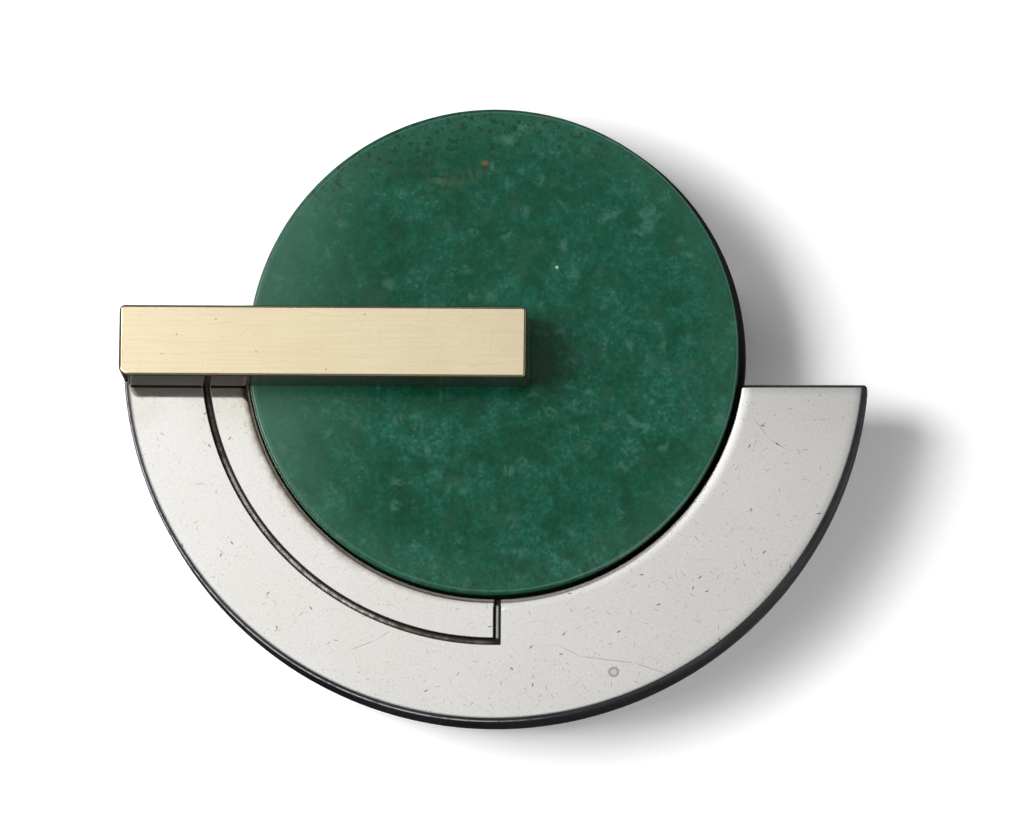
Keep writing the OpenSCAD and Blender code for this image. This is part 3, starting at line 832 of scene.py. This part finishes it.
def make_nuts(finish):
    """A hexagonal nut and a washer on each peg: each is made once and copied."""
    low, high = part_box("peg_nuts")
    across, bore = 3.2 * MM, PEG_R + 0.01 * MM
    nut = start(
        bpy.ops.mesh.primitive_cylinder_add, "peg_nuts_hexagonal", vertices=6,
        radius=across / 2 / math.cos(math.pi / 6), depth=high.y - low.y,
        location=(0, (low.y + high.y) / 2, 0), rotation=(math.pi / 2, math.pi / 6, 0),
    )
    bpy.ops.object.transform_apply(location=True, rotation=True, scale=True)
    dome = lathe("dome", [(0, low.y), (1.76 * MM, low.y), (1.84 * MM, low.y + 0.1 * MM)]
                 + [(1.84 * MM, high.y - 0.32 * MM), (1.52 * MM, high.y), (0, high.y)], 48)
    join_solids(nut, dome, "INTERSECT")
    hole = lathe("hole", [(0, low.y - MM), (bore, low.y - MM), (bore, high.y + MM), (0, high.y + MM)], 32)
    join_solids(nut, hole, "DIFFERENCE")
    soften(nut, 0.05 * MM, 2)
    w_low, w_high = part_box("peg_washers")
    edge, washer_r, washer_bore = 0.08 * MM, 2.2 * MM, PEG_R + 0.05 * MM
    washer = lathe("peg_washers_round", [
        (washer_bore, w_low.y), (washer_r, w_low.y), (washer_r, w_high.y - edge),
        (washer_r - edge, w_high.y), (washer_bore + edge, w_high.y), (washer_bore, w_high.y - edge),
    ], 64)
    for piece, node in ((nut, "peg_nuts"), (washer, "peg_washers")):
        only(piece)
        bpy.ops.object.duplicate()
        copy = bpy.context.object
        copy.location = (END_PEG_X, 0, 0)
        bpy.ops.object.transform_apply(location=True, rotation=True, scale=True)
        piece.select_set(True)
        bpy.context.view_layer.objects.active = piece
        bpy.ops.object.join()
        finish_piece(piece, "brooch_body", finish, [node])


def fitting_plate(node, name, finish):
    """A thin soldered plate with round corners."""
    low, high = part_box(node)
    piece = block(name, low, high)
    for x in (low.x, high.x):
        for z in (low.z, high.z):
            bevel_edges(piece, 0.6 * MM, 5, lambda p, x=x, z=z: abs(p.x - x) < 1e-6 and abs(p.z - z) < 1e-6)
    bevel_edges(piece, 0.12 * MM, 3, lambda p: abs(p.y - high.y) < 1e-6)
    finish_piece(piece, "brooch_body", finish, [node])


def rod(name, radius, low, high, axis, steps=48):
    """A plain round bar on the needle's line or the hinge's, used to build and to cut."""
    centre = (0, NEEDLE_Y, NEEDLE_Z) if axis == "X" else (HINGE_X, NEEDLE_Y, 0)
    return lathe(name, [(0, low), (radius, low), (radius, high), (0, high)], steps, centre, axis)


def make_hinge(finish):
    """Two ears, the rivet through them and the moving knuckle between them."""
    low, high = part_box("hinge_ears")
    base, radius = low.y, 1.25 * MM
    ear_w = 1.0 * MM
    ears = None
    for z in (low.z, high.z - ear_w):
        ear = rod("ear", radius, z, z + ear_w, "Z")
        foot = block("foot", (HINGE_X - radius, base, z), (HINGE_X + radius, NEEDLE_Y, z + ear_w))
        join_solids(ear, foot, "UNION")
        join_solids(ear, rod("bore", 0.51 * MM, z - MM, z + 2 * MM, "Z"), "DIFFERENCE")
        soften(ear, 0.10 * MM, 2)
        if ears is None:
            ears = ear
            continue
        only(ears)
        ear.select_set(True)
        bpy.ops.object.join()
    ears.name = "hinge_ears_pair"
    finish_piece(ears, "brooch_body", finish, ["hinge_ears"])

    low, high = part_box("hinge_rivet")
    shank, head, dome = 0.5 * MM, 0.8 * MM, 0.25 * MM
    profile = [(0, low.z), (head * 0.55, low.z + dome * 0.15), (head * 0.85, low.z + dome * 0.5)]
    profile += [(head, low.z + dome), (shank, low.z + dome), (shank, high.z - dome), (head, high.z - dome)]
    profile += [(head * 0.85, high.z - dome * 0.5), (head * 0.55, high.z - dome * 0.15), (0, high.z)]
    rivet = lathe("hinge_rivet_peened", profile, 40, (HINGE_X, NEEDLE_Y, 0), "Z")
    finish_piece(rivet, "brooch_body", finish, ["hinge_rivet"])

    low, high = KNUCKLE_LOW, KNUCKLE_HIGH
    edge, bore = 0.10 * MM, 0.54 * MM
    knuckle = lathe("needle_knuckle", [
        (bore, low.z), (radius - edge, low.z), (radius, low.z + edge),
        (radius, high.z - edge), (radius - edge, high.z), (bore, high.z),
    ], 64, (HINGE_X, NEEDLE_Y, 0), "Z")
    ferrule_r, start_x = 0.7 * MM, HINGE_X + 0.9 * MM
    groove_r = ferrule_r - 0.04 * MM
    ferrule = lathe("ferrule", [
        (0, start_x), (ferrule_r, start_x), (ferrule_r, high.x - 0.5 * MM),
        (groove_r, high.x - 0.46 * MM), (groove_r, high.x - 0.36 * MM),
        (ferrule_r, high.x - 0.32 * MM), (ferrule_r, high.x - edge),
        (ferrule_r - edge, high.x), (0, high.x),
    ], 48, (0, NEEDLE_Y, NEEDLE_Z), "X")
    join_solids(knuckle, ferrule, "UNION")
    finish_piece(knuckle, "needle_arm", finish, ["pin_knuckle"])


def make_needle(finish):
    """A straight shank that tapers smoothly to its point."""
    low, high = NEEDLE_LOW, NEEDLE_HIGH
    shank, taper = 0.45 * MM, 4.5 * MM
    profile = [(0, KNUCKLE_HIGH.x - MM), (shank, KNUCKLE_HIGH.x - MM), (shank, high.x - taper)]
    for i in range(1, 14):
        share = i / 14
        profile.append((shank * (1 - share ** 1.9) + 0.02 * MM, high.x - taper * (1 - share)))
    profile.append((0, high.x))
    piece = lathe("needle_wire", profile, 32, (0, NEEDLE_Y, NEEDLE_Z), "X")
    finish_piece(piece, "needle_arm", finish, ["needle"])


def make_catch(finish):
    """The fork, the fixed tube on its foot, and the locking tube with its collar and knob."""
    low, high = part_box("catch_cradle")
    fork = block("catch_cradle_fork", low, high)
    slot = 0.5 * MM
    join_solids(fork, rod("slot", slot, low.x - MM, high.x + MM, "X", 32), "DIFFERENCE")
    cut_block(fork, (low.x - MM, NEEDLE_Y, NEEDLE_Z - slot), (high.x + MM, high.y + MM, NEEDLE_Z + slot))
    soften(fork, 0.12 * MM, 3)
    finish_piece(fork, "brooch_body", finish, ["catch_cradle"])

    low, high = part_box("catch_guide_tube")
    tube_r, bore, foot_w = 1.5 * MM, 0.97 * MM, 2.0 * MM
    tube = rod("catch_guide_tube_fixed", tube_r, low.x, high.x, "X", 64)
    foot = block("foot", (low.x, low.y, NEEDLE_Z - foot_w / 2), (high.x, NEEDLE_Y, NEEDLE_Z + foot_w / 2))
    join_solids(tube, foot, "UNION")
    join_solids(tube, rod("bore", bore, low.x - MM, high.x + MM, "X", 64), "DIFFERENCE")
    soften(tube, 0.10 * MM, 2)
    finish_piece(tube, "brooch_body", finish, ["catch_guide_tube"])

    low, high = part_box("catch_slider")
    outer, inner, collar_r, collar_t, edge = 0.92 * MM, 0.6 * MM, 1.2 * MM, 0.3 * MM, 0.05 * MM
    slider = lathe("locking_tube_sleeve", [
        (0, low.x + 4 * MM), (inner, low.x + 4 * MM), (inner, low.x + edge),
        (inner + edge, low.x), (collar_r - edge, low.x), (collar_r, low.x + edge),
        (collar_r, low.x + collar_t - edge), (collar_r - edge, low.x + collar_t), (outer, low.x + collar_t),
        (outer, high.x), (0, high.x),
    ], 48, (0, NEEDLE_Y, NEEDLE_Z), "X")
    finish_piece(slider, "locking_tube", finish, ["catch_slider"])

    low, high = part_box("catch_knob")
    radius, ridges = 1.3 * MM, 28
    knob = start(
        bpy.ops.mesh.primitive_cylinder_add, "locking_tube_knob", vertices=2 * ridges, radius=radius,
        depth=high.x - low.x, location=((low.x + high.x) / 2, NEEDLE_Y, NEEDLE_Z),
        rotation=(0, math.pi / 2, 0),
    )
    bpy.ops.object.transform_apply(location=True, rotation=True, scale=True)
    for x in (low.x, high.x):
        bevel_edges(knob, 0.18 * MM, 3, lambda p, x=x: abs(p.x - x) < 1e-6)
    only(knob)
    for v in knob.data.vertices:
        v.select = False
    for e in knob.data.edges:
        e.select = False
    for face in knob.data.polygons:
        centre = face.center
        around = math.hypot(face.normal.y, face.normal.z) > 0.99
        turn = math.atan2(centre.z - NEEDLE_Z, centre.y - NEEDLE_Y) / TAU * 2 * ridges
        face.select = around and round(turn - 0.5) % 2 == 0
    bpy.context.tool_settings.mesh_select_mode = (False, False, True)
    bpy.ops.object.mode_set(mode="EDIT")
    bpy.ops.mesh.inset(thickness=0.03 * MM, depth=-0.07 * MM, use_individual=True)
    leave()
    finish_piece(knob, "locking_tube", finish, ["catch_knob"], 25)


# ------------------------------------------------------------------ stage and light

def panel(name, centre, width, height, low, high):
    """A glowing panel that faces the brooch, unseen itself, with a glow from low to high leftwards."""
    board = start(bpy.ops.mesh.primitive_plane_add, name, size=1)
    back = -Vector(centre)
    turn = back.to_track_quat("Z", "Y").to_matrix().to_4x4()
    board.matrix_world = Matrix.Translation(centre) @ turn @ Matrix.Diagonal((width, height, 1, 1))
    f = Finish(name + " glow")
    across = f.node("ShaderNodeSeparateXYZ", {}, {0: f.place})
    glow = (across + 0.5).clip() * (high - low) + low
    f.end(f.node("ShaderNodeEmission", {}, {"Color": (1, 1, 1, 1), "Strength": glow}))
    board.data.materials.append(f.material)
    board.visible_camera = False


PAPER_LIFT = 1.05        # how bright the paper is to the camera
PAPER_HAZE = 0.05        # the least that a shadow on it can fall to
PAPER_OPEN = 45.0        # nearer than this many millimetres light passes through it to the brooch's back
PAPER_WHITE = 52.0       # from here outwards it burns out to white


def make_backdrop():
    """The pale surface that the brooch lies on, bright enough to burn out where no shadow falls."""
    half, gap = 0.6, 0.4 * MM
    y = max(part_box("catch_guide_tube")[1].y, KNUCKLE_HIGH.y) + gap
    board = start(bpy.ops.mesh.primitive_plane_add, "backdrop", size=2 * half, rotation=(math.pi / 2, 0, 0))
    board.location = (0, y, 0)
    bpy.ops.object.transform_apply(location=True, rotation=True, scale=True)
    f = Finish("pale backdrop")
    x, _, z = f.axes()
    radius = ((x * x) + (z * z)) ** 0.5
    camera_ray = f.node("ShaderNodeLightPath", {}, {}, "Is Camera Ray")
    mirrored = f.node("ShaderNodeLightPath", {}, {}, "Is Glossy Ray")
    near = radius.rise(PAPER_OPEN + 1, PAPER_OPEN - 1)
    behind = f.node("ShaderNodeNewGeometry", {}, {}, "Backfacing").most(near * (1 - camera_ray))
    # painted shade: in mirrored rays the paper is dimmed to a fifth, so the metal walls that mirror it stay
    # dark
    lift = f.blend(mirrored, (0.80, 0.80, 0.81), (0.16, 0.16, 0.165))
    lift = f.blend(camera_ray, lift, (PAPER_LIFT, PAPER_LIFT, PAPER_LIFT))
    paper = f.node("ShaderNodeBsdfDiffuse", {}, {"Color": lift})
    burnt_out = radius.rise(PAPER_WHITE, PAPER_WHITE + 10)
    glow = camera_ray * (PAPER_HAZE + burnt_out)
    haze = f.node("ShaderNodeEmission", {}, {"Color": (1, 1, 1, 1), "Strength": glow})
    paper = f.node("ShaderNodeAddShader", {}, {0: paper, 1: haze})
    clear = f.node("ShaderNodeBsdfTransparent", {}, {})
    f.end(f.node("ShaderNodeMixShader", {}, {0: behind, 1: paper, 2: clear}))
    board.data.materials.append(f.material)


def make_world():
    """White to the camera, dim to matt surfaces and a dark room in the mirrored metal."""
    world = bpy.data.worlds.new("room")
    bpy.context.scene.world = world
    world.use_nodes = True
    tree = world.node_tree
    tree.nodes.clear()
    path = tree.nodes.new("ShaderNodeLightPath")
    room = None
    for ray, shade in (
        (None, (0.014, 0.014, 0.016)), ("Is Diffuse Ray", (0.05, 0.05, 0.051)), ("Is Camera Ray", (1, 1, 1)),
    ):
        glow = tree.nodes.new("ShaderNodeBackground")
        glow.inputs["Color"].default_value = (*shade, 1)
        if room is None:
            room = glow
            continue
        mix = tree.nodes.new("ShaderNodeMixShader")
        tree.links.new(path.outputs[ray], mix.inputs[0])
        tree.links.new(room.outputs[0], mix.inputs[1])
        tree.links.new(glow.outputs[0], mix.inputs[2])
        room = mix
    out = tree.nodes.new("ShaderNodeOutputWorld")
    tree.links.new(room.outputs[0], out.inputs["Surface"])


def make_lights():
    """A pale panel above the camera for the metal to mirror, a strong one on the left, and dim ones around.

    Each has a centre, a width and a height in metres, and the strength of its glow on the right and left.
    """
    panel("front panel", (-0.055, -0.50, 0.105), 0.32, 0.19, 0.30, 1.50)
    panel("lower panel", (-0.040, -0.50, -0.034), 0.32, 0.076, 0.30, 0.85)
    panel("key panel", (-0.385, -0.53, 0.055), 0.44, 0.40, 12.0, 12.0)
    panel("fill panel", (0.42, -0.26, -0.42), 0.42, 0.42, 3.0, 3.0)
    panel("right side panel", (0.55, -0.12, -0.02), 0.38, 0.38, 0.9, 0.9)
    panel("low side panel", (-0.385, -0.385, -0.254), 0.34, 0.34, 0.6, 0.6)
    panel("rear panel", (0.41, 0.43, -0.155), 0.46, 0.46, 0.35, 1.15)
    panel("rear side panel", (-0.45, 0.30, 0.30), 0.40, 0.40, 2.2, 2.2)


# ------------------------------------------------------------------ building it

bpy.context.scene.view_settings.view_transform = "Standard"

make_camera()

stone = stone_finish()
silver = silver_finish()
satin = back_finish("satin silver", (0.80, 0.785, 0.755), (0.52, 0.48, 0.42), 0.26)
gold = gold_finish()
steel = steel_finish()
cement = cement_finish()

make_stone(stone)
make_seat(satin)
make_crescent(silver)
make_band(silver)
make_back_plate(satin)
make_bar(gold)
make_bar_floor(gold)
make_spacer(gold)
make_pegs(satin)
make_nuts(satin)
fitting_plate("hinge_plate", "hinge_plate_soldered", satin)
fitting_plate("catch_plate", "catch_plate_soldered", satin)
make_hinge(satin)
make_needle(steel)
make_catch(satin)

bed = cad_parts["cement_bed"]
bed.data.materials.clear()
bed.data.materials.append(cement)

make_world()
make_backdrop()
make_lights()
